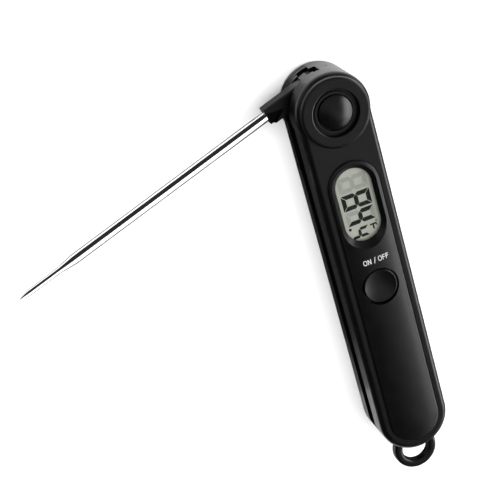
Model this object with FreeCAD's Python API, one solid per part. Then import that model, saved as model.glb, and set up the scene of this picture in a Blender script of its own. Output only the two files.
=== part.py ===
import FreeCAD, Part
import math
import os

# Folding probe thermometer, millimetres.
# +Z leaves the display, +Y runs from the hanging loop to the pivot, +X is to the right of the display.
# The origin is on the pivot axis, in the plane of the flat back.

# ---- driving dimensions -------------------------------------------------------------------------
HALF_W = 13.4            # half width of the body
HUB_R = 13.9             # radius of the round pivot end
END_Y = -125.4           # centre of the rounded lower end
WALL = 1.6
FLOOR_T = 1.8            # rear wall of the rear shell

REAR_SPLIT = 2.6         # joint between rear shell and middle body
SKIRT_Z = 17.4           # joint between middle body and front cover, as seen from outside
FRONT_SPLIT = 19.4       # underside of the front cover
RIM_Z = 19.9             # flat rim and pivot end of the front cover
PANEL_Z = 21.55          # crest of the raised, crowned front panel
PANEL_R = 9.8            # half width of the front panel
FACE_Z = 22.0            # face of the ring round the pivot
SHELF_TOP = 13.4         # inner shelf that carries the circuit board

# probe and its holder, in the holder's own axes: X along the probe, -Y outwards, Z up
REST_AZIMUTH = 197.5     # where the probe points at rest, from +X; 270 is folded
PROBE_Z = 8.8
PROBE_OFFSET = 9.4       # from the pivot axis to the probe's axis
TUBE_R = 1.9
TUBE_WALL = 0.35
TIP_R = 1.15
TUBE_START = 11.3
GRIP_START, GRIP_END = 18.2, 19.5        # rolled groove that locks the tube in its holder
GRIP_R = 1.7
NECK_START = 102.3
NECK_END = 108.4
POINT_START = 120.8
PROBE_TIP = 125.5
ARM_ROOT = 1.7
ARM_END = 19.3
ARM_INNER = 6.15
ARM_OUTER = 12.65
ARM_BACK = 6.1
ARM_FRONT = 11.5
DRUM_R = 8.8
DRUM_BACK = 4.75
SHUTTER_R = 12.55        # sector on the drum that closes the lower half of the slot
SHUTTER_TOP = 7.3
SHUTTER_FROM, SHUTTER_ANGLE = -116.0, 75.5
FLUSH_R = 13.65          # nearly flush parts of the holder, which never pass under the wall
AXLE_R = 2.4
RUNNING = 0.05           # radial clearance of the holder on its axle

# slot for the holder and groove for the folded probe
SLOT_BACK = 4.4
SLOT_FRONT = 11.9
SLOT_END_X = -1.6
CHAMBER_R = 9.3
POCKET_X = -5.9
POCKET_END_Y = -21.6
GROOVE_BACK = 6.0
GROOVE_X = -7.2
GROOVE_END_Y = -128.3
GROOVE_WALL_X = -5.6     # electronics side of the wall beside the groove
POCKET_WALL_X = -4.2
POCKET_WALL_END_Y = -23.0
ROOM_TOP_Y = -12.0

# display
WINDOW_Y0, WINDOW_Y1 = -43.0, -28.8      # centres of the window's two round ends
WINDOW_R = 6.85
WINDOW_FLARE = 1.28      # how much the window widens for each millimetre of height
LENS_TOP = FRONT_SPLIT - 0.05
LENS_BACK = 18.3
LCD_TOP = 18.2
LCD_BACK = 16.8
LCD_HALF_W = 8.6
LCD_Y0, LCD_Y1 = -52.6, -19.6
BOARD_TOP = SHELF_TOP + 1.05
BOARD_BACK = SHELF_TOP + 0.05

# button
BUTTON_Y = -68.3
BUTTON_R = 6.4
BUTTON_HOLE_R = 7.1
BUTTON_EDGE_Z = 21.0
BUTTON_BACK = 18.6
FLANGE_R = 7.6
FLANGE_TOP = FRONT_SPLIT - 0.1

# battery, size AAA, and its door
BATTERY_X = 3.25
BATTERY_Z = 7.45
BATTERY_R = 5.25
BATTERY_Y0, BATTERY_Y1 = -126.6, -83.2
TRAY_Y0, TRAY_Y1 = -129.0, -81.2
DOOR_HALF_W = 6.85
DOOR_Y0, DOOR_Y1 = -129.6, -80.4
DOOR_SCREW = (4.6, -131.9)
DOOR_GAP = 0.15
CASE_SCREWS = ((9.75, -20.0), (-3.4, -26.0), (9.75, -78.6), (-5.8, -133.0))
SCREW_R = 0.9
HEAD_R = 1.75
BOSS_R = 2.3

# hanging loop
LOOP_Y = -144.0
LOOP_R = 8.55
LOOP_HOLE_R = 5.2
LOOP_BACK, LOOP_FRONT = 7.0, 11.0

FIT = 0.05               # gap between pieces that sit in each other

V = FreeCAD.Vector
FAR = 40.0


# ---- small building blocks ----------------------------------------------------------------------
def cylinder(r, z0, z1, x=0.0, y=0.0):
    return Part.makeCylinder(r, z1 - z0, V(x, y, z0))


def box(x0, x1, y0, y1, z0, z1):
    return Part.makeBox(x1 - x0, y1 - y0, z1 - z0, V(x0, y0, z0))


def tube(r_in, r_out, z0, z1, x=0.0, y=0.0):
    return cylinder(r_out, z0, z1, x, y).cut(cylinder(r_in, z0, z1, x, y))


def revolve(points, angle=360.0):
    """Solid of revolution about Z from (radius, height) points."""
    corners = [V(r, 0, z) for r, z in points]
    face = Part.Face(Part.makePolygon(corners + corners[:1]))
    return face.revolve(V(0, 0, 0), V(0, 0, 1), angle)


def stadium_wire(r, y0, y1, z, x=0.0):
    a, b = V(x - r, y0, z), V(x - r, y1, z)
    c, d = V(x + r, y1, z), V(x + r, y0, z)
    top = Part.Arc(b, V(x, y1 + r, z), c).toShape()
    bottom = Part.Arc(d, V(x, y0 - r, z), a).toShape()
    return Part.Wire([Part.makeLine(a, b), top, Part.makeLine(c, d), bottom])


def stadium(r, y0, y1, z0, z1, x=0.0):
    return Part.Face(stadium_wire(r, y0, y1, z0, x)).extrude(V(0, 0, z1 - z0))


def outline(inset, z0, z1):
    """The body's outline, moved inwards by inset, between two heights."""
    w, hub = HALF_W - inset, HUB_R - inset
    join_y = -math.sqrt(hub * hub - w * w)
    a, b = V(-w, END_Y, z0), V(-w, join_y, z0)
    c, d = V(w, join_y, z0), V(w, END_Y, z0)
    top = Part.Arc(b, V(0, hub, z0), c).toShape()
    bottom = Part.Arc(d, V(0, END_Y - w, z0), a).toShape()
    wire = Part.Wire([Part.makeLine(a, b), top, Part.makeLine(c, d), bottom])
    return Part.Face(wire).extrude(V(0, 0, z1 - z0))


def edges_at(shape, z, tolerance=0.01):
    """Edges that lie in the plane at height z."""
    level = []
    for edge in shape.Edges:
        bounds = edge.BoundBox
        if abs(bounds.ZMin - z) < tolerance and abs(bounds.ZMax - z) < tolerance:
            level.append(edge)
    return level


def fuse(first, *others):
    return first.multiFuse(list(others)).removeSplitter()


def cut(first, *others):
    return first.cut(Part.makeCompound(list(others)))


def to_rest(shape):
    """Turn a piece of the probe from the holder's own axes to where it stands at rest."""
    shape.rotate(V(0, 0, 0), V(0, 0, 1), REST_AZIMUTH)
    return shape


def along_probe(r, start, end, y=-PROBE_OFFSET, z=PROBE_Z):
    return Part.makeCylinder(r, end - start, V(start, y, z), V(1, 0, 0))


# ---- housing ------------------------------------------------------------------------------------
def raised_panel():
    """Plate with a crowned top and rounded edges, the same distance from the centre line all round."""
    crown_r, edge_d = 40.0, 9.1
    crown_z = PANEL_Z - crown_r
    middle_z = crown_z + math.sqrt(crown_r ** 2 - (edge_d / 2) ** 2)
    edge_z = crown_z + math.sqrt(crown_r ** 2 - edge_d ** 2)
    y = END_Y
    crest, edge, foot = V(0, y, PANEL_Z), V(edge_d, y, edge_z), V(PANEL_R, y, RIM_Z)
    crown = Part.Arc(crest, V(edge_d / 2, y, middle_z), edge).toShape()
    rounding = Part.Arc(edge, V(9.6, y, edge_z - 0.22), foot).toShape()
    base = Part.makePolygon([foot, V(PANEL_R, y, FRONT_SPLIT), V(0, y, FRONT_SPLIT), crest])
    half = Part.Face(Part.Wire([crown, rounding] + base.Edges))
    right = half.extrude(V(0, WINDOW_Y1 - END_Y, 0))
    left = right.mirror(V(0, 0, 0), V(1, 0, 0))
    lower_end = half.revolve(V(0, END_Y, 0), V(0, 0, 1), -180)
    upper_half = half.translated(V(0, WINDOW_Y1 - END_Y, 0))
    upper_end = upper_half.revolve(V(0, WINDOW_Y1, 0), V(0, 0, 1), 180)
    return fuse(right, left, lower_end, upper_end)


def front_cover():
    rim_round, skirt_t = 2.0, 2.5
    base = outline(0, SKIRT_Z, RIM_Z)
    base = base.makeFillet(rim_round, edges_at(base, RIM_Z))
    base = base.cut(outline(skirt_t, SKIRT_Z - 1, FRONT_SPLIT))
    hub_floor = cylinder(11.0, FRONT_SPLIT - 1, RIM_Z)
    # the skirt's tongue reaches down inside the wall of the middle body
    tongue_out, tongue_in = WALL + 0.15, WALL + 1.15
    tongue = outline(tongue_out, SKIRT_Z - 0.8, FRONT_SPLIT)
    tongue = tongue.cut(outline(tongue_in, SKIRT_Z - 0.8, FRONT_SPLIT))
    cover = fuse(base, raised_panel(), hub_floor, tongue)
    # a fine groove follows the foot of the panel
    groove_w, groove_d = 0.25, 0.25
    groove = stadium(PANEL_R + groove_w, END_Y, WINDOW_Y1, RIM_Z - groove_d, FACE_Z)
    groove = groove.cut(stadium(PANEL_R, END_Y, WINDOW_Y1, RIM_Z - groove_d, FACE_Z))
    cap_hole = cylinder(5.5, 0, FAR)
    window_top = WINDOW_R + WINDOW_FLARE * (FACE_Z - FRONT_SPLIT)
    window = Part.makeLoft([stadium_wire(WINDOW_R, WINDOW_Y0, WINDOW_Y1, FRONT_SPLIT),
                            stadium_wire(window_top, WINDOW_Y0, WINDOW_Y1, FACE_Z)], True, True)
    button_hole = cylinder(BUTTON_HOLE_R, 0, FAR, 0, BUTTON_Y)
    return cut(cover, groove, cap_hole, window, button_hole)


def screw_bosses():
    bosses = [cylinder(BOSS_R, FLOOR_T + FIT, SHELF_TOP, x, y) for x, y in CASE_SCREWS]
    x, y = DOOR_SCREW
    bosses.append(cylinder(2.0, FLOOR_T + FIT, GROOVE_BACK + 1, x, y))
    bosses.append(box(x, 10.2, y - 0.5, y + 0.5, FLOOR_T + FIT, GROOVE_BACK + 1))
    # below the joint they stay inside the wall of the rear shell
    rear_wall = outline(-1, 0, REAR_SPLIT).cut(outline(WALL + FIT, 0, REAR_SPLIT))
    return [boss.cut(rear_wall) for boss in bosses]


def middle_body():
    body = outline(0, REAR_SPLIT, SKIRT_Z)
    upper_room = outline(WALL, SHELF_TOP, FAR)
    lower_room = outline(WALL, 0, SHELF_TOP).common(fuse(
        box(GROOVE_WALL_X, FAR, -FAR * 4, POCKET_WALL_END_Y, 0, SHELF_TOP),
        box(POCKET_WALL_X, FAR, POCKET_WALL_END_Y - 1, ROOM_TOP_Y, 0, SHELF_TOP)))
    body = fuse(cut(body, upper_room, lower_room), *screw_bosses()).common(outline(0, 0, FAR))
    groove = box(-FAR, GROOVE_X, GROOVE_END_Y, POCKET_END_Y, 0, SLOT_FRONT)
    strip = box(-FAR, GROOVE_WALL_X - 0.1, GROOVE_END_Y, POCKET_END_Y, 0, GROOVE_BACK)
    pocket = box(-FAR, POCKET_X, POCKET_END_Y, 0, 0, SLOT_FRONT)
    pocket_strip = box(-FAR, POCKET_WALL_X - 0.1, POCKET_END_Y, 0, 0, SLOT_BACK)
    slot = box(-FAR, SLOT_END_X, 0, FAR, 0, SLOT_FRONT)
    chamber = cylinder(CHAMBER_R, 0, SLOT_FRONT)
    rear_plate = cylinder(HUB_R - WALL - 0.5, 0, SLOT_BACK)
    shutter_way = revolve([(8.0, SLOT_BACK), (SHUTTER_R + 0.2, SLOT_BACK),
                           (SHUTTER_R + 0.2, SHUTTER_TOP + 0.2), (8.0, SHUTTER_TOP + 0.2)], 40.0)
    shutter_way.rotate(V(0, 0, 0), V(0, 0, 1), 60.0)
    notch = box(SLOT_END_X - 0.1, 0.62, CHAMBER_R - 0.5, FAR, 7.5, 13.0)
    axle_hole = cylinder(AXLE_R, 0, FAR)
    loop_slot = cylinder(LOOP_R + FIT, 0, LOOP_FRONT + FIT, 0, LOOP_Y)
    tang_slot = box(-3.05, 3.05, -137.5, -133.95, 0, 10.45)
    vent_azimuth = math.radians(72)
    outward = V(math.cos(vent_azimuth), math.sin(vent_azimuth), 0)
    vent = Part.makeCylinder(0.35, 3, outward * (HUB_R - 1.2) + V(0, 0, 9.0), outward)
    holes = [cylinder(SCREW_R, 0, 9, x, y) for x, y in CASE_SCREWS]
    holes.append(cylinder(SCREW_R, 0, 6, *DOOR_SCREW))
    return cut(body, groove, strip, pocket, pocket_strip, slot, chamber, rear_plate, shutter_way, notch,
               axle_hole, loop_slot, tang_slot, vent, *holes)


def door_outline(gap, z0, z1):
    """The battery door's outer flange, smaller by gap all round."""
    half = DOOR_HALF_W - gap
    plate = box(BATTERY_X - half, BATTERY_X + half, DOOR_Y0 + gap, DOOR_Y1 - gap, z0, z1)
    upright = [e for e in plate.Edges if abs(e.BoundBox.ZLength - (z1 - z0)) < 1e-6]
    plate = plate.makeFillet(2.0, upright)
    x, y = DOOR_SCREW
    tab_r = 2.8 - gap
    return fuse(plate, cylinder(tab_r, z0, z1, x, y), box(x - tab_r, x + tab_r, y, y + 4, z0, z1))


def door_opening(gap, z0, z1):
    half = 5.7 - gap
    return box(BATTERY_X - half, BATTERY_X + half, -128.2 + gap, -81.6 - gap, z0, z1)


def rear_shell():
    shell = outline(0, 0, REAR_SPLIT)
    shell = shell.makeFillet(1.2, edges_at(shell, 0))
    room = outline(WALL, FLOOR_T, FAR)
    shell = shell.cut(room)
    left = outline(0, FLOOR_T, GROOVE_BACK)
    strip = left.common(box(-FAR, -5.8, GROOVE_END_Y + FIT, POCKET_END_Y, 0, GROOVE_BACK))
    strip = strip.cut(box(-HALF_W + WALL, 0, GROOVE_END_Y + 2, POCKET_END_Y - 2, 0, SLOT_BACK))
    hub_left = fuse(box(-FAR, POCKET_WALL_X - 0.2, POCKET_END_Y, 0, 0, SLOT_BACK),
                    box(-FAR, SLOT_END_X - FIT, -0.5, FAR, 0, SLOT_BACK))
    hub_left = outline(0.15, FLOOR_T, SLOT_BACK).common(hub_left)
    hub_plate = cylinder(HUB_R - WALL - 0.6, FLOOR_T - 0.1, SLOT_BACK)
    # upstand that closes the end wall behind the hanging loop
    upstand = outline(0, FLOOR_T, LOOP_BACK - FIT).cut(outline(WALL, 0, FAR))
    upstand = upstand.common(cylinder(LOOP_R, 0, FAR, 0, LOOP_Y))
    shell = fuse(shell, strip, hub_left, hub_plate, upstand)
    axle_socket = cylinder(AXLE_R, 2.0, FAR)
    holes = [cylinder(SCREW_R + 0.2, -1, 3, x, y) for x, y in CASE_SCREWS]
    holes += [cylinder(HEAD_R + 0.15, -1, 1.2, x, y) for x, y in CASE_SCREWS]
    holes.append(cylinder(SCREW_R + 0.2, -1, 3, *DOOR_SCREW))
    return cut(shell, axle_socket, door_outline(0, -1, 1.0), door_opening(0, 0, 3), *holes)


def shell_seal():
    """Thin cord of rubber between the middle body and the rear shell, on the closed right-hand side."""
    run = outline(WALL + 0.3, FLOOR_T + FIT, REAR_SPLIT + 0.4).cut(outline(WALL + 1.1, 0, FAR))
    run = run.common(box(0.5, FAR, -118, -26, 0, FAR))
    return cut(run, *[cylinder(BOSS_R + 0.3, 0, FAR, x, y) for x, y in CASE_SCREWS])


def battery_door():
    flange = door_outline(DOOR_GAP, 0, 0.95)
    plug = door_opening(DOOR_GAP, 0.9, FLOOR_T)
    x, y = DOOR_SCREW
    head_seat = cylinder(HEAD_R + 0.1, -0.1, 0.45, x, y)
    grips = [box(BATTERY_X - 3, BATTERY_X + 3, y0, y0 + 0.8, -0.1, 0.35) for y0 in (-86.0, -88.0, -90.0)]
    return cut(fuse(flange, plug), head_seat, cylinder(SCREW_R + 0.1, -1, 3, x, y), *grips)


def hanging_loop():
    ring = tube(LOOP_HOLE_R, LOOP_R, LOOP_BACK, LOOP_FRONT, 0, LOOP_Y)
    ring = ring.makeFillet(1.2, edges_at(ring, LOOP_BACK) + edges_at(ring, LOOP_FRONT))
    tang = box(-3, 3, -138.0, -134.0, LOOP_BACK + 0.6, LOOP_FRONT - 0.6)
    return fuse(ring, tang)


# ---- pivot --------------------------------------------------------------------------------------
def pivot_ring():
    return revolve([(8.55, RIM_Z), (12.75, RIM_Z), (12.75, 21.2), (12.68, 21.48), (12.47, 21.74),
                    (12.15, 21.92), (11.75, FACE_Z), (8.8, FACE_Z), (8.62, 21.93), (8.55, 21.75)])


def cap_collar():
    """Low ring round the cap, with a thin foot that centres it in the pivot ring."""
    return revolve([(6.5, RIM_Z), (8.5, RIM_Z), (8.5, 20.1), (7.6, 20.1), (7.6, 20.6),
                    (7.45, 20.75), (6.65, 20.75), (6.5, 20.6)])


def pivot_cap():
    cap_r, edge_z, rise = 6.1, 21.15, 1.55
    ball_r = (cap_r ** 2 + rise ** 2) / (2 * rise)
    ball = Part.makeSphere(ball_r, V(0, 0, edge_z + rise - ball_r))
    dome = ball.common(cylinder(cap_r, RIM_Z, FACE_Z + 2))
    return fuse(dome, cylinder(5.45, 17.8, RIM_Z))


def probe_holder():
    drum = cylinder(DRUM_R, DRUM_BACK, ARM_FRONT)
    arm = box(ARM_ROOT, ARM_END, -ARM_OUTER, -ARM_INNER, ARM_BACK, ARM_FRONT)
    outer_edges = [e for e in arm.Edges
                   if e.BoundBox.YMax < -ARM_OUTER + 0.01 and e.BoundBox.XLength > 1]
    arm = arm.makeFillet(0.9, outer_edges)
    # the tail enters the notch of the middle body when the probe is fully open
    tail = revolve([(8.0, 7.9), (FLUSH_R, 7.9), (FLUSH_R, ARM_FRONT), (8.0, ARM_FRONT)], 12.0)
    tail.rotate(V(0, 0, 0), V(0, 0, 1), -91.9)
    shutter = revolve([(8.0, DRUM_BACK), (SHUTTER_R, DRUM_BACK), (SHUTTER_R, SHUTTER_TOP),
                       (8.0, SHUTTER_TOP)], SHUTTER_ANGLE)
    shutter.rotate(V(0, 0, 0), V(0, 0, 1), SHUTTER_FROM)
    lip = revolve([(9.0, DRUM_BACK), (FLUSH_R, DRUM_BACK), (FLUSH_R, ARM_BACK + 0.3),
                   (9.0, ARM_BACK + 0.3)], 38.0)
    lip.rotate(V(0, 0, 0), V(0, 0, 1), -82.0)
    # sloping facet at the front of the arm's end
    facet = Part.Face(Part.makePolygon([V(12.7, -8.9, ARM_FRONT), V(18.9, -11.0, ARM_FRONT),
                                        V(20.5, -5.0, 9.0), V(12.7, -8.9, ARM_FRONT)]))
    facet = facet.extrude(V(0.5, 1.0, 6))
    holder = fuse(drum, shutter, lip, arm, tail).cut(facet)
    seal_grooves = [tube(7.0, 8.35, ARM_FRONT - 0.75, FAR), tube(7.0, 8.35, 0, DRUM_BACK + 0.75)]
    hollow = tube(3.4, 6.2, DRUM_BACK + 1.2, ARM_FRONT - 1.2)
    wire_way = along_probe(0.95, 0.5, TUBE_START, -PROBE_OFFSET)
    inward = box(0.5, 2.4, -PROBE_OFFSET, -5.5, PROBE_Z - 0.6, PROBE_Z + 0.6)
    tube_seats = [along_probe(TUBE_R, TUBE_START, GRIP_START), along_probe(GRIP_R, TUBE_START, FAR)]
    return cut(holder, cylinder(AXLE_R + RUNNING, 0, FAR), hollow, wire_way, inward, *tube_seats,
               *seal_grooves)


def probe_tube():
    """Drawn steel tube: thick shank, conical neck, thin end and a ground point, hollow to the point."""
    outer = [(TUBE_START, TUBE_R), (GRIP_START, TUBE_R), (GRIP_START, GRIP_R), (GRIP_END, GRIP_R),
             (GRIP_END, TUBE_R), (NECK_START, TUBE_R), (NECK_END, TIP_R), (POINT_START, TIP_R),
             (POINT_START + 1.8, 0.98), (POINT_START + 3.3, 0.62), (PROBE_TIP - 0.4, 0.26),
             (PROBE_TIP, 0.0)]
    inner = [(POINT_START - 0.6, 0.0), (POINT_START - 0.6, TIP_R - TUBE_WALL),
             (NECK_END, TIP_R - TUBE_WALL), (NECK_START, TUBE_R - TUBE_WALL),
             (TUBE_START, TUBE_R - TUBE_WALL)]
    points = [V(x, r - PROBE_OFFSET, PROBE_Z) for x, r in outer + inner]
    face = Part.Face(Part.makePolygon(points + points[:1]))
    return face.revolve(V(0, -PROBE_OFFSET, PROBE_Z), V(1, 0, 0), 360)


def temperature_sensor():
    return along_probe(0.6, POINT_START - 4.0, POINT_START - 1.0)


def probe_wires():
    return Part.makeCompound([along_probe(0.3, 4.0, POINT_START - 4.0, -PROBE_OFFSET + side * 0.4)
                              for side in (-1, 1)])


def pivot_seals():
    rings = [Part.makeTorus(7.67, 0.5, V(0, 0, z)) for z in (SLOT_BACK + 0.55, SLOT_FRONT - 0.55)]
    return Part.makeCompound(rings)


def friction_washer():
    return tube(AXLE_R + 0.1, 6.4, ARM_FRONT + FIT, SLOT_FRONT - FIT)


def pivot_axle():
    groove = tube(AXLE_R - 0.5, FAR, SHELF_TOP + 0.3, SHELF_TOP + 0.9)
    axle = cylinder(AXLE_R, 2.0, SHELF_TOP + 1.6)
    axle = axle.makeChamfer(0.3, edges_at(axle, SHELF_TOP + 1.6))
    return axle.cut(groove)


def axle_clip():
    clip = tube(AXLE_R - 0.45, AXLE_R + 1.6, SHELF_TOP + 0.35, SHELF_TOP + 0.85)
    return clip.cut(box(-0.9, 0.9, -FAR, 0, 0, FAR))


# ---- display, board and button ------------------------------------------------------------------
def display_lens():
    return stadium(9.4, WINDOW_Y0, WINDOW_Y1, LENS_BACK, LENS_TOP)


def lcd_panel():
    glass = box(-LCD_HALF_W, LCD_HALF_W, LCD_Y0, LCD_Y1, LCD_BACK, LCD_TOP)
    return glass.makeChamfer(0.15, edges_at(glass, LCD_TOP))


def lcd_holder():
    frame = box(-10.1, 10.1, LCD_Y0 - 1.4, LCD_Y1 + 1.4, BOARD_TOP, LCD_TOP - 0.1)
    return frame.cut(box(-LCD_HALF_W - 0.1, LCD_HALF_W + 0.1, LCD_Y0 - 0.1, LCD_Y1 + 0.1, 0, FAR))


def contact_strips():
    return Part.makeCompound([box(x - 0.9, x + 0.9, LCD_Y0 + 2, LCD_Y1 - 2, BOARD_TOP, LCD_BACK)
                              for x in (-7.3, 7.3)])


def circuit_board():
    board = box(-10.6, 10.6, -80.5, -15.5, BOARD_BACK, BOARD_TOP)
    upright = [e for e in board.Edges if e.BoundBox.ZLength > 0.5]
    return board.makeFillet(1.5, upright)


def controller_chip():
    blob = cylinder(3.2, BOARD_TOP, BOARD_TOP + 1.1, 0, -58.0)
    return blob.makeFillet(0.8, edges_at(blob, BOARD_TOP + 1.1))


def board_components():
    places = [(-7.6, -57.5), (-7.6, -60.5), (-7.6, -63.5), (7.6, -57.5), (7.6, -60.5), (6.5, -76.5),
              (3.5, -76.5)]
    parts = [box(x - 0.6, x + 0.6, y - 1.0, y + 1.0, BOARD_TOP, BOARD_TOP + 0.7) for x, y in places]
    crystal = cylinder(1.1, BOARD_TOP, BOARD_TOP + 2.6, -6.0, -76.0)
    return Part.makeCompound(parts + [crystal])


def push_switch():
    can = box(-3, 3, BUTTON_Y - 3, BUTTON_Y + 3, BOARD_TOP, 17.3)
    can = can.makeChamfer(0.3, edges_at(can, 17.3))
    return can.cut(cylinder(1.75, 15.6, FAR, 0, BUTTON_Y))


def switch_plunger():
    return cylinder(1.7, 16.4, BUTTON_BACK, 0, BUTTON_Y)


def on_off_button():
    button = fuse(cylinder(BUTTON_R, BUTTON_BACK, BUTTON_EDGE_Z, 0, BUTTON_Y),
                  cylinder(FLANGE_R, BUTTON_BACK, FLANGE_TOP, 0, BUTTON_Y))
    button = button.makeFillet(0.35, edges_at(button, BUTTON_EDGE_Z))
    dish_r, dish_depth = 6.05, 0.73
    ball_r = (dish_r ** 2 + dish_depth ** 2) / (2 * dish_depth)
    return button.cut(Part.makeSphere(ball_r, V(0, BUTTON_Y, BUTTON_EDGE_Z - dish_depth + ball_r)))


def button_gasket():
    return tube(FLANGE_R + 0.2, FLANGE_R + 1.4, BUTTON_BACK - 0.7, FRONT_SPLIT - FIT, 0, BUTTON_Y)


# ---- battery ------------------------------------------------------------------------------------
def along_y(r, y0, y1):
    return Part.makeCylinder(r, y1 - y0, V(BATTERY_X, y0, BATTERY_Z), V(0, 1, 0))


def battery():
    cell = along_y(BATTERY_R, BATTERY_Y0, BATTERY_Y1)
    cell = cell.makeFillet(0.4, [e for e in cell.Edges if e.BoundBox.YLength < 0.01])
    return fuse(cell, along_y(1.9, BATTERY_Y1, BATTERY_Y1 + 0.8))


def battery_tray():
    half = BATTERY_R + 0.35
    outer = box(BATTERY_X - half - 1.1, BATTERY_X + half + 1.1, TRAY_Y0, TRAY_Y1, 2.3, 13.3)
    return outer.cut(box(BATTERY_X - half, BATTERY_X + half, TRAY_Y0 + 1.1, TRAY_Y1 - 0.8, 0, 12.85))


def positive_contact():
    y1 = TRAY_Y1 - 0.8
    return box(BATTERY_X - 3, BATTERY_X + 3, y1 - 0.35, y1, 3.2, 12.6)


def negative_contact():
    y0 = TRAY_Y0 + 1.1
    plate = box(BATTERY_X - 4, BATTERY_X + 4, y0, y0 + 0.35, 3.2, 12.6)
    coil = along_y(3.2, y0 + 0.35, BATTERY_Y0 - FIT).cut(along_y(2.5, y0, BATTERY_Y0))
    return fuse(plate, coil)


# ---- fasteners ----------------------------------------------------------------------------------
def screw(x, y, back, head_t, end):
    head = cylinder(HEAD_R, back, back + head_t, x, y)
    slots = [box(x - 1.1, x + 1.1, y - 0.2, y + 0.2, back, back + 0.45),
             box(x - 0.2, x + 0.2, y - 1.1, y + 1.1, back, back + 0.45)]
    return fuse(cut(head, *slots), cylinder(SCREW_R, back + head_t, end, x, y))


def case_screws():
    return Part.makeCompound([screw(x, y, 0.3, 0.9, 8.5) for x, y in CASE_SCREWS])


def door_screw():
    return screw(*DOOR_SCREW, -0.35 + 0.4, 0.4, 5.6)


# ---- write one file per piece -------------------------------------------------------------------
PIECES = {
    "front_cover": front_cover, "middle_body": middle_body, "rear_shell": rear_shell,
    "shell_seal": shell_seal, "battery_door": battery_door, "hanging_loop": hanging_loop,
    "pivot_ring": pivot_ring, "cap_collar": cap_collar, "pivot_cap": pivot_cap,
    "friction_washer": friction_washer, "pivot_axle": pivot_axle, "axle_clip": axle_clip,
    "display_lens": display_lens, "lcd_panel": lcd_panel, "lcd_holder": lcd_holder,
    "contact_strips": contact_strips, "circuit_board": circuit_board,
    "controller_chip": controller_chip, "board_components": board_components,
    "push_switch": push_switch, "switch_plunger": switch_plunger, "on_off_button": on_off_button,
    "button_gasket": button_gasket, "battery": battery, "battery_tray": battery_tray,
    "positive_contact": positive_contact, "negative_contact": negative_contact,
    "case_screws": case_screws, "door_screw": door_screw,
}
TURNING_PIECES = {
    "probe_holder": probe_holder, "probe_tube": probe_tube, "temperature_sensor": temperature_sensor,
    "probe_wires": probe_wires, "pivot_seals": pivot_seals,
}

os.makedirs("parts", exist_ok=True)
for name, make in PIECES.items():
    make().exportStep("parts/" + name + ".step")
for name, make in TURNING_PIECES.items():
    to_rest(make()).exportStep("parts/" + name + ".step")
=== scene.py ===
import math

import bmesh
import bpy
from mathutils import Matrix, Vector


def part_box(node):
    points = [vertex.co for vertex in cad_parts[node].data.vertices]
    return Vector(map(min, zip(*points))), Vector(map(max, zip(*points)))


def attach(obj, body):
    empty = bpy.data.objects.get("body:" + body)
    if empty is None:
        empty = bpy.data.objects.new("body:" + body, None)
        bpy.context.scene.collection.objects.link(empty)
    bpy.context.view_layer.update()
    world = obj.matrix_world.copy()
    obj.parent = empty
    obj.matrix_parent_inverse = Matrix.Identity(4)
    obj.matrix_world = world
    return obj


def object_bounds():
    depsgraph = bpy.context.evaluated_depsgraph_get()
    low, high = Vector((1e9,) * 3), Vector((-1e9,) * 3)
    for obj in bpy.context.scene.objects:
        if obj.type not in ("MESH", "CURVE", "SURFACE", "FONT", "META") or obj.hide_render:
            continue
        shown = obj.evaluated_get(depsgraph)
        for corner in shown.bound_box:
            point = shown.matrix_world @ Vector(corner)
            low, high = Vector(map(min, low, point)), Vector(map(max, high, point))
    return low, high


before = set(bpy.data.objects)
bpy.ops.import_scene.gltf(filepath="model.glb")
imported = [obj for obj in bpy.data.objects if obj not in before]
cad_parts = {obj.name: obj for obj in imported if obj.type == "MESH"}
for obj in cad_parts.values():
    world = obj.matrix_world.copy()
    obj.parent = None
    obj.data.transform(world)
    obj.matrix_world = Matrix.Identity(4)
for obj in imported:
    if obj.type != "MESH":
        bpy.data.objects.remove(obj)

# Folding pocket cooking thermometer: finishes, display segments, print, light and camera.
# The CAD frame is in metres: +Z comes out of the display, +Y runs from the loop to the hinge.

CAD_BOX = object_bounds()
MM = 0.001

# Camera, in the CAD frame
CAMERA_AT = Vector((-0.13453, 0.17511, 0.50477))
CAMERA_FORWARD = Vector((0.172, -0.3951, -0.9024)).normalized()
CAMERA_UP = Vector((0.3506, 0.8806, -0.3188)).normalized()
CAMERA_LENS = 110.9
CAMERA_SENSOR = 36.0

# Raised front panel of the cover: a crown along X, level along Y
PANEL_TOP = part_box("front_cover")[1][2]
CROWN_RADIUS = 40.0 * MM

# Display, read with the handle on its side: digits stand along +X and follow each other along -Y
GLASS_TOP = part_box("lcd_panel")[1][2]
SEGMENT_HEIGHT = 0.04 * MM
BIG_STROKE = 1.6 * MM
SMALL_STROKE = 1.1 * MM
SEGMENT_GAP = 0.14 * MM  # between neighbouring segments
BIG_ROW = (-5.4 * MM, 5.55 * MM)  # foot and head of the large figures
SMALL_ROW = (-5.3 * MM, 2.0 * MM)
UNIT_STEM = -45.4 * MM  # the side of the unit's letter, along Y

# "ON / OFF" print above the button; letter shapes are drawn on a unit height
PRINT_LEFT = -4.2 * MM
PRINT_BASE = -58.45 * MM
PRINT_HEIGHT = 0.03 * MM
PRINT_SINK = 0.01 * MM  # the part of its height that lies in the panel
LETTER_HEIGHT = 1.86 * MM
LETTER_PITCH = 1.03
STROKE_HALF = 0.050
CURVE_OVERLAP = 0.4 * STROKE_HALF  # how far each prism of a stroke runs past its points
STRAIGHT_OVERLAP = 0.5 * STROKE_HALF
ROUND_SIDES = 28
ROUND_HALF_WIDTH = 0.33
ROUND_HALF_HEIGHT = 0.46
ROUND_POWER = 0.8  # below 1 squares the oval a little

# The probe points this way round the hinge, and passes this many millimetres from its axis
PROBE_AZIMUTH = math.radians(197.5)
PROBE_OFFSET = 9.4

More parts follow.
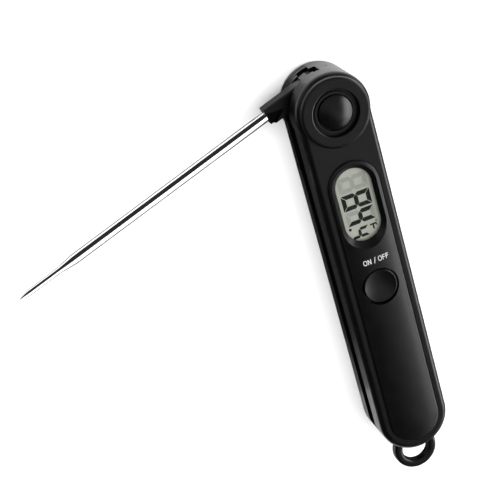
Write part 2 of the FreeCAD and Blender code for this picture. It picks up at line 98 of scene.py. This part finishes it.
# Noise values lie mostly between these
NOISE_LOW = 0.3
NOISE_HIGH = 0.7

# The floor and the cards that lie on it, below the lowest point of the object
FLOOR_REACH = 2.5
FLOOR_DROP = 0.05 * MM
CARD_DROP = 0.02 * MM

# The lights face this place; a softbox of strength 1 has this many watts a square metre
LIGHTS_AIM = Vector((0.0, -0.06, 0.02))
SOFTBOX_POWER = 4.0


# ---------------------------------------------------------------- materials

def start_material(name):
    """A new material with its Principled shader and object coordinates in metres."""
    made = bpy.data.materials.new(name)
    made.use_nodes = True
    tree = made.node_tree
    shader = tree.nodes["Principled BSDF"]
    place = tree.nodes.new("ShaderNodeTexCoord")
    return made, tree, shader, place.outputs["Object"]


def noise(tree, place, scale, detail=2.0, stretch=None, turn=0.0):
    """Noise in object space; stretch scales each axis after a turn about Z."""
    texture = tree.nodes.new("ShaderNodeTexNoise")
    texture.inputs["Scale"].default_value = scale
    texture.inputs["Detail"].default_value = detail
    if stretch:
        mapping = tree.nodes.new("ShaderNodeMapping")
        mapping.inputs["Rotation"].default_value = (0.0, 0.0, turn)
        mapping.inputs["Scale"].default_value = stretch
        tree.links.new(place, mapping.inputs["Vector"])
        place = mapping.outputs["Vector"]
    tree.links.new(place, texture.inputs["Vector"])
    return texture.outputs["Fac"]


def vary_colour(tree, shader, value, low, high):
    """Base colour between two tones."""
    ramp = tree.nodes.new("ShaderNodeValToRGB")
    ramp.color_ramp.elements[0].position = NOISE_LOW
    ramp.color_ramp.elements[1].position = NOISE_HIGH
    ramp.color_ramp.elements[0].color = (*low, 1.0)
    ramp.color_ramp.elements[1].color = (*high, 1.0)
    tree.links.new(value, ramp.inputs["Fac"])
    tree.links.new(ramp.outputs["Color"], shader.inputs["Base Color"])


def vary_roughness(tree, shader, value, low, high):
    """Roughness between two values."""
    spread = tree.nodes.new("ShaderNodeMapRange")
    spread.inputs["From Min"].default_value = NOISE_LOW
    spread.inputs["From Max"].default_value = NOISE_HIGH
    spread.inputs["To Min"].default_value = low
    spread.inputs["To Max"].default_value = high
    tree.links.new(value, spread.inputs["Value"])
    tree.links.new(spread.outputs["Result"], shader.inputs["Roughness"])


def colour_along_y(tree, shader, place, start, end):
    """Base colour from a ramp that runs between two places along Y; gives the ramp."""
    split = tree.nodes.new("ShaderNodeSeparateXYZ")
    tree.links.new(place, split.inputs["Vector"])
    spread = tree.nodes.new("ShaderNodeMapRange")
    spread.inputs["From Min"].default_value = start
    spread.inputs["From Max"].default_value = end
    tree.links.new(split.outputs["Y"], spread.inputs["Value"])
    ramp = tree.nodes.new("ShaderNodeValToRGB")
    tree.links.new(spread.outputs["Result"], ramp.inputs["Fac"])
    tree.links.new(ramp.outputs["Color"], shader.inputs["Base Color"])
    return ramp.color_ramp


def add_bump(tree, shader, value, strength, distance):
    """Surface relief from one height value."""
    bump = tree.nodes.new("ShaderNodeBump")
    bump.inputs["Strength"].default_value = strength
    bump.inputs["Distance"].default_value = distance
    tree.links.new(value, bump.inputs["Height"])
    tree.links.new(bump.outputs["Normal"], shader.inputs["Normal"])


def plastic(name, colour, roughness, grain=2600.0, relief=0.25, spread=0.12, specular=0.5):
    """Moulded plastic: fine spark-eroded grain, faint handling marks in the gloss and colour."""
    made, tree, shader, place = start_material(name)
    patches = noise(tree, place, 90.0, 4.0)
    low = tuple(c * (1.0 - spread) for c in colour)
    high = tuple(c * (1.0 + spread) for c in colour)
    vary_colour(tree, shader, patches, low, high)
    vary_roughness(tree, shader, noise(tree, place, 260.0, 3.0), roughness * 0.9, roughness * 1.1)
    add_bump(tree, shader, noise(tree, place, grain), relief, 0.01 * MM)
    shader.inputs["IOR"].default_value = 1.5
    shader.inputs["Specular IOR Level"].default_value = specular
    return made


def metal(name, colour, roughness, stretch, turn=0.0, relief=0.08):
    """Polished or drawn metal with fine lines along one direction."""
    made, tree, shader, place = start_material(name)
    lines = noise(tree, place, 1500.0, 3.0, stretch, turn)
    low = tuple(c * 0.96 for c in colour)
    vary_colour(tree, shader, lines, low, colour)
    vary_roughness(tree, shader, lines, roughness * 0.8, roughness * 1.25)
    add_bump(tree, shader, lines, relief, 0.004 * MM)
    shader.inputs["Metallic"].default_value = 1.0
    return made


def rubber(name, colour):
    """Dull seal rubber with a fine matt grain."""
    made, tree, shader, place = start_material(name)
    pale = tuple(c * 1.4 for c in colour)
    vary_colour(tree, shader, noise(tree, place, 300.0, 4.0), colour, pale)
    vary_roughness(tree, shader, noise(tree, place, 900.0), 0.6, 0.75)
    add_bump(tree, shader, noise(tree, place, 3500.0), 0.35, 0.01 * MM)
    return made


def board(name):
    """Green solder mask over faint copper tracks."""
    made, tree, shader, place = start_material(name)
    tracks = tree.nodes.new("ShaderNodeTexBrick")
    tracks.inputs["Scale"].default_value = 260.0
    tracks.inputs["Color1"].default_value = (0.010, 0.075, 0.026, 1.0)
    tracks.inputs["Color2"].default_value = (0.012, 0.090, 0.030, 1.0)
    tracks.inputs["Mortar"].default_value = (0.035, 0.160, 0.045, 1.0)
    tree.links.new(place, tracks.inputs["Vector"])
    tree.links.new(tracks.outputs["Color"], shader.inputs["Base Color"])
    vary_roughness(tree, shader, noise(tree, place, 700.0), 0.3, 0.42)
    add_bump(tree, shader, tracks.outputs["Fac"], 0.3, 0.02 * MM)
    return made


def clear(name):
    """Clear polycarbonate window with very faint haze."""
    made, tree, shader, place = start_material(name)
    haze = noise(tree, place, 120.0, 3.0)
    vary_colour(tree, shader, haze, (0.020, 0.021, 0.020), (0.024, 0.025, 0.024))
    vary_roughness(tree, shader, haze, 0.03, 0.06)
    shader.inputs["Alpha"].default_value = 0.06
    shader.inputs["IOR"].default_value = 1.58
    return made


def glass_of_display(name):
    """Reflective display: pale grey-green cell over a brushed reflector."""
    made, tree, shader, place = start_material(name)
    sheen = noise(tree, place, 900.0, 3.0, (1.0, 0.06, 1.0))
    vary_colour(tree, shader, sheen, (0.295, 0.308, 0.262), (0.312, 0.325, 0.280))
    vary_roughness(tree, shader, sheen, 0.34, 0.42)
    add_bump(tree, shader, sheen, 0.06, 0.005 * MM)
    return made


def jacket(name):
    """Printed battery sleeve: dark body with a metallic end band along Y."""
    made, tree, shader, place = start_material(name)
    low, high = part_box("battery")
    bands = colour_along_y(tree, shader, place, low[1], high[1])
    bands.interpolation = "CONSTANT"
    bands.elements[0].color = (0.02, 0.02, 0.024, 1.0)
    bands.elements[1].color = (0.55, 0.32, 0.10, 1.0)
    bands.elements[1].position = 0.72
    vary_roughness(tree, shader, noise(tree, place, 400.0), 0.25, 0.34)
    add_bump(tree, shader, noise(tree, place, 1500.0), 0.1, 0.01 * MM)
    return made


def ink(name, low, high, roughness, specular=0.5):
    """Printed or switched-on mark with a slightly uneven tone."""
    made, tree, shader, place = start_material(name)
    tone = noise(tree, place, 1400.0, 3.0)
    vary_colour(tree, shader, tone, low, high)
    vary_roughness(tree, shader, tone, roughness * 0.9, roughness * 1.1)
    add_bump(tree, shader, tone, 0.1, 0.004 * MM)
    shader.inputs["Specular IOR Level"].default_value = specular
    return made


BLACK = (0.0009, 0.0009, 0.0011)
STEEL = (0.80, 0.80, 0.79)

FINISHES = {
    "cover_plastic": plastic("cover_plastic", BLACK, 0.34),
    "body_plastic": plastic("body_plastic", BLACK, 0.36),
    "rear_plastic": plastic("rear_plastic", BLACK, 0.38),
    "door_plastic": plastic("door_plastic", (0.0020, 0.0020, 0.0024), 0.42, grain=1800.0),
    "loop_plastic": plastic("loop_plastic", BLACK, 0.34),
    "ring_plastic": plastic("ring_plastic", BLACK, 0.33),
    "collar_plastic": plastic("collar_plastic", BLACK, 0.32),
    "cap_plastic": plastic("cap_plastic", BLACK, 0.31),
    "button_plastic": plastic("button_plastic", BLACK, 0.32),
    "holder_plastic": plastic("holder_plastic", BLACK, 0.36),
    "probe_steel": metal("probe_steel", STEEL, 0.07, (0.02, 1.0, 1.0), -PROBE_AZIMUTH),
    "washer_steel": metal("washer_steel", STEEL, 0.28, (1.0, 1.0, 0.1)),
    "axle_steel": metal("axle_steel", STEEL, 0.22, (1.0, 1.0, 0.1)),
    "screw_steel": metal("screw_steel", (0.56, 0.56, 0.57), 0.30, (1.0, 1.0, 0.2)),
    "clear_lens": clear("clear_lens"),
    "lcd_glass": glass_of_display("lcd_glass"),
    "inner_plastic": plastic("inner_plastic", (0.045, 0.046, 0.050), 0.45, relief=0.15),
    "contact_rubber": rubber("contact_rubber", (0.10, 0.10, 0.11)),
    "board_resin": board("board_resin"),
    "chip_resin": plastic("chip_resin", (0.012, 0.012, 0.013), 0.5, grain=3200.0),
    "switch_plastic": plastic("switch_plastic", (0.55, 0.55, 0.53), 0.4, relief=0.15),
    "battery_jacket": jacket("battery_jacket"),
    "contact_metal": metal("contact_metal", (0.83, 0.80, 0.72), 0.20, (1.0, 0.1, 1.0)),
    "seal_rubber": rubber("seal_rubber", (0.012, 0.012, 0.013)),
    "sensor_bead": plastic("sensor_bead", (0.10, 0.035, 0.02), 0.35, relief=0.1),
    "wire_jacket": plastic("wire_jacket", (0.35, 0.03, 0.02), 0.4, relief=0.1),
}

SEGMENT_INK = ink("segment_ink", (0.004, 0.004, 0.004), (0.006, 0.006, 0.006), 0.4, specular=0.2)
GHOST_INK = ink("ghost_ink", (0.225, 0.236, 0.206), (0.237, 0.248, 0.218), 0.4)
PRINT_INK = ink("print_ink", (0.78, 0.78, 0.78), (0.86, 0.86, 0.86), 0.5)

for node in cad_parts.values():
    for slot in node.material_slots:
        slot.material = FINISHES[slot.material.name.split(".")[0]]

# A small rounding on the crisp moulded edges seen from outside, in millimetres
CRISP_ANGLE = math.radians(35)
ROUNDED = {
    "front_cover": 0.16,
    "middle_body": 0.24,
    "rear_shell": 0.24,
    "battery_door": 0.12,
    "on_off_button": 0.08,
    "probe_holder": 0.12,
}
for name, width in ROUNDED.items():
    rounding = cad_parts[name].modifiers.new("edge_rounding", "BEVEL")
    rounding.width = width * MM
    rounding.segments = 2
    rounding.limit_method = "ANGLE"
    rounding.angle_limit = CRISP_ANGLE
    rounding.use_clamp_overlap = True
    rounding.harden_normals = True


# ---------------------------------------------------------------- pieces

def new_piece(name, shape, finish, body):
    """A finished mesh object that moves with one CAD body."""
    mesh = bpy.data.meshes.new(name)
    shape.to_mesh(mesh)
    shape.free()
    mesh.materials.append(finish)
    made = bpy.data.objects.new(name, mesh)
    bpy.context.scene.collection.objects.link(made)
    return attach(made, body)


def add_prism(shape, outline, floor, height):
    """A closed prism over an outline in XY; floor gives its underside at each x."""
    low = [shape.verts.new((x, y, floor(x))) for x, y in outline]
    high = [shape.verts.new((x, y, floor(x) + height)) for x, y in outline]
    shape.faces.new(high)
    shape.faces.new(list(reversed(low)))
    count = len(outline)
    for k in range(count):
        after = (k + 1) % count
        shape.faces.new((low[k], low[after], high[after], high[k]))


def display_floor(x):
    """Segments lie on the top of the display glass."""
    return GLASS_TOP


def add_bar(shape, start, end, stroke):
    """A plain bar between two points."""
    start = Vector(start)
    end = Vector(end)
    along = (end - start).normalized()
    across = Vector((-along.y, along.x)) * (stroke / 2)
    outline = [start - across, end - across, end + across, start + across]
    add_prism(shape, outline, display_floor, SEGMENT_HEIGHT)


def add_digit(shape, lit, left, right, row, stroke):
    """A seven-segment figure with mitred ends; left and right are along Y, the row along X."""
    low, high = row
    middle = (low + high) / 2
    half = stroke / 2
    gap = SEGMENT_GAP / 2
    side = -1 if right < left else 1
    skew = side * gap
    inner_left = left + side * stroke
    inner_right = right - side * stroke
    outlines = {
        "g": (
            (middle, left + side * half + skew),
            (middle + half, inner_left + skew),
            (middle + half, inner_right - skew),
            (middle, right - side * half - skew),
            (middle - half, inner_right - skew),
            (middle - half, inner_left + skew),
        ),
    }
    for letter, outer, inward in (("a", high, -1), ("d", low, 1)):
        outlines[letter] = (
            (outer, left + 2 * skew),
            (outer, right - 2 * skew),
            (outer + inward * stroke, inner_right - 2 * skew),
            (outer + inward * stroke, inner_left + 2 * skew),
        )
    uprights = (
        ("f", high, -1, left, side),
        ("b", high, -1, right, -side),
        ("e", low, 1, left, side),
        ("c", low, 1, right, -side),
    )
    for letter, outer, inward, edge, across in uprights:
        inner = edge + across * stroke
        outlines[letter] = (
            (outer + inward * 2 * gap, edge),
            (outer + inward * (stroke + 2 * gap), inner),
            (middle - inward * (half + gap), inner),
            (middle - inward * gap, edge + across * half),
            (middle - inward * (half + gap), edge),
        )
    for letter in lit:
        add_prism(shape, outlines[letter], display_floor, SEGMENT_HEIGHT)


def add_dot(shape, centre, radius, hole=0.0, sides=20):
    """A round mark, or a ring when it has a hole."""
    for k in range(sides):
        a = 2 * math.pi * k / sides
        b = 2 * math.pi * (k + 1) / sides
        ring = []
        for angle, reach in ((a, radius), (b, radius), (b, hole), (a, hole)):
            x = centre[0] + reach * math.cos(angle)
            y = centre[1] + reach * math.sin(angle)
            ring.append((x, y))
        if hole == 0.0:
            ring = ring[:3]
        add_prism(shape, ring, display_floor, SEGMENT_HEIGHT)


def add_unit(shape):
    """The unit after the figures: a letter of three bars and its degree ring."""
    bars = (
        ((2.6 * MM, UNIT_STEM), (5.2 * MM, UNIT_STEM), 0.6 * MM),
        ((5.0 * MM, UNIT_STEM), (5.0 * MM, UNIT_STEM - 0.8 * MM), 0.4 * MM),
        ((3.8 * MM, UNIT_STEM), (3.8 * MM, UNIT_STEM - 1.9 * MM), 0.6 * MM),
    )
    for start, end, stroke in bars:
        add_bar(shape, start, end, stroke)
    add_dot(shape, (5.3 * MM, UNIT_STEM + 1.0 * MM), 0.4 * MM, 0.2 * MM)


def add_display():
    """The lit figures, and the resting ones that show faintly beside them."""
    lit = bmesh.new()
    add_digit(lit, "abcdefg", -31.5 * MM, -37.5 * MM, BIG_ROW, BIG_STROKE)
    add_digit(lit, "bcfg", -38.2 * MM, -43.4 * MM, BIG_ROW, BIG_STROKE)
    add_dot(lit, (-4.9 * MM, -44.6 * MM), 0.55 * MM)
    add_digit(lit, "bcfg", -44.9 * MM, -48.8 * MM, SMALL_ROW, SMALL_STROKE)
    add_unit(lit)
    new_piece("display_segments", lit, SEGMENT_INK, "handle")
    resting = bmesh.new()
    add_digit(resting, "abcdefg", -24.9 * MM, -30.7 * MM, BIG_ROW, BIG_STROKE)
    add_digit(resting, "ade", -38.2 * MM, -43.4 * MM, BIG_ROW, BIG_STROKE)
    new_piece("display_resting_segments", resting, GHOST_INK, "handle")


def round_letter():
    """A closed run round a slightly squared oval."""
    run = []
    for k in range(ROUND_SIDES + 1):
        turn = 2 * math.pi * k / ROUND_SIDES
        across = math.copysign(abs(math.cos(turn)) ** ROUND_POWER, math.cos(turn))
        up = math.copysign(abs(math.sin(turn)) ** ROUND_POWER, math.sin(turn))
        run.append((ROUND_HALF_WIDTH * (1 + across), 0.5 + ROUND_HALF_HEIGHT * up))
    return run


# Each letter's advance and its strokes
LETTERS = {
    "O": (0.90, [round_letter()]),
    "N": (0.86, [[(0.0, 0.0), (0.0, 1.0)], [(0.0, 1.0), (0.56, 0.0)], [(0.56, 0.0), (0.56, 1.0)]]),
    "F": (0.70, [[(0.0, 0.0), (0.0, 1.0)], [(0.0, 0.93), (0.5, 0.93)], [(0.0, 0.5), (0.44, 0.5)]]),
    "/": (0.55, [[(0.0, -0.08), (0.30, 1.08)]]),
    " ": (0.34, []),
}


def panel_floor(x):
    """Just under the crowned panel, so that the print stands out a little."""
    return PANEL_TOP - x * x / (2 * CROWN_RADIUS) - PRINT_SINK


def add_stroke(shape, points, pen):
    """A stroke of one width along a run of points, as overlapping prisms, from the pen's X."""
    overlap = CURVE_OVERLAP if len(points) > 2 else STRAIGHT_OVERLAP
    for start, end in zip(points, points[1:]):
        start = Vector(start)
        end = Vector(end)
        along = (end - start).normalized()
        reach = along * overlap
        across = Vector((-along.y, along.x)) * STROKE_HALF
        corners = (
            start - reach - across,
            end + reach - across,
            end + reach + across,
            start - reach + across,
        )
        outline = []
        for corner in corners:
            outline.append((pen + corner.x * LETTER_HEIGHT, PRINT_BASE + corner.y * LETTER_HEIGHT))
        add_prism(shape, outline, panel_floor, PRINT_HEIGHT)


def add_print(text):
    """The words above the button."""
    pen = PRINT_LEFT
    lettering = bmesh.new()
    for letter in text:
        advance, strokes = LETTERS[letter]
        for stroke in strokes:
            add_stroke(lettering, stroke, pen)
        pen = pen + advance * LETTER_PITCH * LETTER_HEIGHT
    new_piece("switch_print", lettering, PRINT_INK, "handle")


add_display()
add_print("ON / OFF")


# ---------------------------------------------------------------- floor, light, camera

def floor_material():
    """Pale matt paper."""
    made, tree, shader, place = start_material("floor_paper")
    fibre = noise(tree, place, 40.0, 4.0)
    vary_colour(tree, shader, fibre, (0.90, 0.90, 0.90), (0.92, 0.92, 0.92))
    shader.inputs["Roughness"].default_value = 0.9
    shader.inputs["Specular IOR Level"].default_value = 0.1
    return made


def add_sheet(name, sheet_material, x_range, y_range, level, turn=0.0):
    """A flat rectangle, turned about the hinge axis; it is no part of the object."""
    corners = []
    for x, y in ((0, 0), (1, 0), (1, 1), (0, 1)):
        corner = Vector((x_range[x], y_range[y], 0.0))
        corner.rotate(Matrix.Rotation(turn, 3, "Z"))
        corners.append((corner.x, corner.y, level))
    mesh = bpy.data.meshes.new(name)
    mesh.from_pydata(corners, [], [(0, 1, 2, 3)])
    mesh.materials.append(sheet_material)
    made = bpy.data.objects.new(name, mesh)
    bpy.context.scene.collection.objects.link(made)
    return made


def add_floor():
    """A plain pale sheet under the object."""
    reach = (-FLOOR_REACH, FLOOR_REACH)
    return add_sheet("floor", floor_material(), reach, reach, CAD_BOX[0][2] - FLOOR_DROP)


def add_softbox(name, toward, distance, width, height, strength, glossy=True, only=None):
    """A rectangular light in one direction from the object; only names what it lights."""
    lamp = bpy.data.lights.new(name, "AREA")
    lamp.shape = "RECTANGLE"
    lamp.size = width
    lamp.size_y = height
    lamp.energy = SOFTBOX_POWER * width * height * strength
    made = bpy.data.objects.new(name, lamp)
    made.visible_camera = False
    made.visible_glossy = glossy
    away = Vector(toward).normalized()
    made.location = LIGHTS_AIM + away * distance
    made.rotation_euler = away.to_track_quat("Z", "Y").to_euler()
    bpy.context.scene.collection.objects.link(made)
    if only:
        group = bpy.data.collections.new(name + "_targets")
        for target in only:
            group.objects.link(target)
        made.light_linking.receiver_collection = group
    return made


def graded_shade_card(name, near, far, start, end):
    """Painted shade for a card, whose tone runs from near to far between two places along Y: a
    shadow on the floor that fades out.
    """
    made, tree, shader, place = start_material(name)
    tones = colour_along_y(tree, shader, place, start, end)
    tones.elements[0].color = (near, near, near, 1.0)
    tones.elements[1].color = (far, far, far, 1.0)
    shader.inputs["Roughness"].default_value = 0.7
    return made


def add_flag(name, sheet_material, x_range, y_range, turn=0.0):
    """A card of painted shade that lies on the floor and shows only in reflections; its sides are
    in millimetres.
    """
    across = [edge * MM for edge in x_range]
    along = [edge * MM for edge in y_range]
    made = add_sheet(name, sheet_material, across, along, CAD_BOX[0][2] - CARD_DROP, turn)
    # Hidden from camera, diffuse light and shadow: the gloss sees painted shade here while the
    # camera sees white floor.
    made.visible_camera = False
    made.visible_diffuse = False
    made.visible_shadow = False
    made.visible_transmission = False


def add_camera():
    """The camera, with its own axes set from its sight line and its up direction."""
    lens = bpy.data.cameras.new("camera")
    lens.lens = CAMERA_LENS
    lens.sensor_width = CAMERA_SENSOR
    made = bpy.data.objects.new("camera", lens)
    right = CAMERA_FORWARD.cross(CAMERA_UP).normalized()
    up = right.cross(CAMERA_FORWARD)
    axes = Matrix((right, up, -CAMERA_FORWARD)).transposed()
    made.matrix_world = Matrix.Translation(CAMERA_AT) @ axes.to_4x4()
    bpy.context.scene.collection.objects.link(made)
    bpy.context.scene.camera = made


def add_lights(floor):
    """Softboxes on the right, weaker cards round the object, and fills that no gloss shows."""
    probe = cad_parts["probe_tube"]
    all_but_probe = [node for name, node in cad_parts.items() if name != "probe_tube"]
    add_softbox("side_softbox", (0.83, -0.18, 0.51), 1.2, 1.17, 0.60, 4.4)
    add_softbox("side_low_softbox", (0.62, -0.70, 0.36), 1.2, 0.55, 0.36, 2.2)
    add_softbox("top_card", (0.26, -0.30, 0.92), 1.1, 0.42, 1.0, 0.29)
    add_softbox("back_card", (-0.05, 0.35, 0.94), 1.2, 1.3, 0.8, 0.22, only=all_but_probe)
    add_softbox("low_back_card", (-0.60, 0.55, 0.45), 1.3, 1.0, 0.5, 0.5, only=all_but_probe)
    add_softbox("rim_strip", (0.45, 0.84, 0.28), 1.0, 0.5, 0.2, 1.0)
    add_softbox("overhead_fill", (0.0, 0.1, 1.0), 1.5, 3.0, 3.0, 1.6, glossy=False)
    add_softbox("probe_card", (0.193, -0.613, 0.766), 0.8, 2.0, 1.5, 1.4, only=[probe])
    overhead = (0.0, 0.0, 1.0)
    fill = add_softbox("floor_fill", overhead, 1.5, 3.0, 3.0, 0.6, glossy=False, only=[floor])
    fill.data.use_shadow = False


def add_flags():
    """Cards of painted shade that darken the floor's reflection round the handle and along the
    probe.
    """
    # Painted shade for the reflections: a near-black card with a rubber finish.
    dark = rubber("painted_shade_card", (0.028, 0.028, 0.028))
    # Painted shadow by the left wall: lightest at the loop end, darkest towards the hub.
    grey = graded_shade_card("painted_fading_shade_card", 0.62, 0.11, -118 * MM, -93 * MM)
    # Painted half shade for the reflections by the hub: a mid-grey card with a rubber finish.
    pale = rubber("painted_half_shade_card", (0.36, 0.36, 0.36))
    add_flag("left_flag", grey, (-30, -13.6), (-118, 6))
    add_flag("hub_flag", pale, (-30, -9), (6.1, 26))
    add_flag("far_left_flag", dark, (-700, -30), (-450, -33))
    add_flag("right_flag", dark, (13.6, 700), (-450, 4))
    add_flag("loop_flag", dark, (-13.6, 13.6), (-165, -139))
    beside = (-PROBE_OFFSET - 11, -PROBE_OFFSET + 26)
    add_flag("probe_flag", dark, (22, 128), beside, PROBE_AZIMUTH)
    nearer = (-PROBE_OFFSET + 26, -PROBE_OFFSET + 58)
    add_flag("probe_near_flag", dark, (52, 135), nearer, PROBE_AZIMUTH)


def add_world():
    """A room that is white to the camera and nearly dark as a light."""
    world = bpy.data.worlds.new("room")
    world.use_nodes = True
    tree = world.node_tree
    background = tree.nodes["Background"]
    background.inputs["Color"].default_value = (1.0, 1.0, 1.0, 1.0)
    light_path = tree.nodes.new("ShaderNodeLightPath")
    strength = tree.nodes.new("ShaderNodeMapRange")
    strength.inputs["To Min"].default_value = 0.03
    strength.inputs["To Max"].default_value = 1.0
    tree.links.new(light_path.outputs["Is Camera Ray"], strength.inputs["Value"])
    tree.links.new(strength.outputs["Result"], background.inputs["Strength"])
    bpy.context.scene.world = world


add_lights(add_floor())
add_flags()
add_camera()
add_world()
bpy.context.scene.view_settings.view_transform = "Standard"
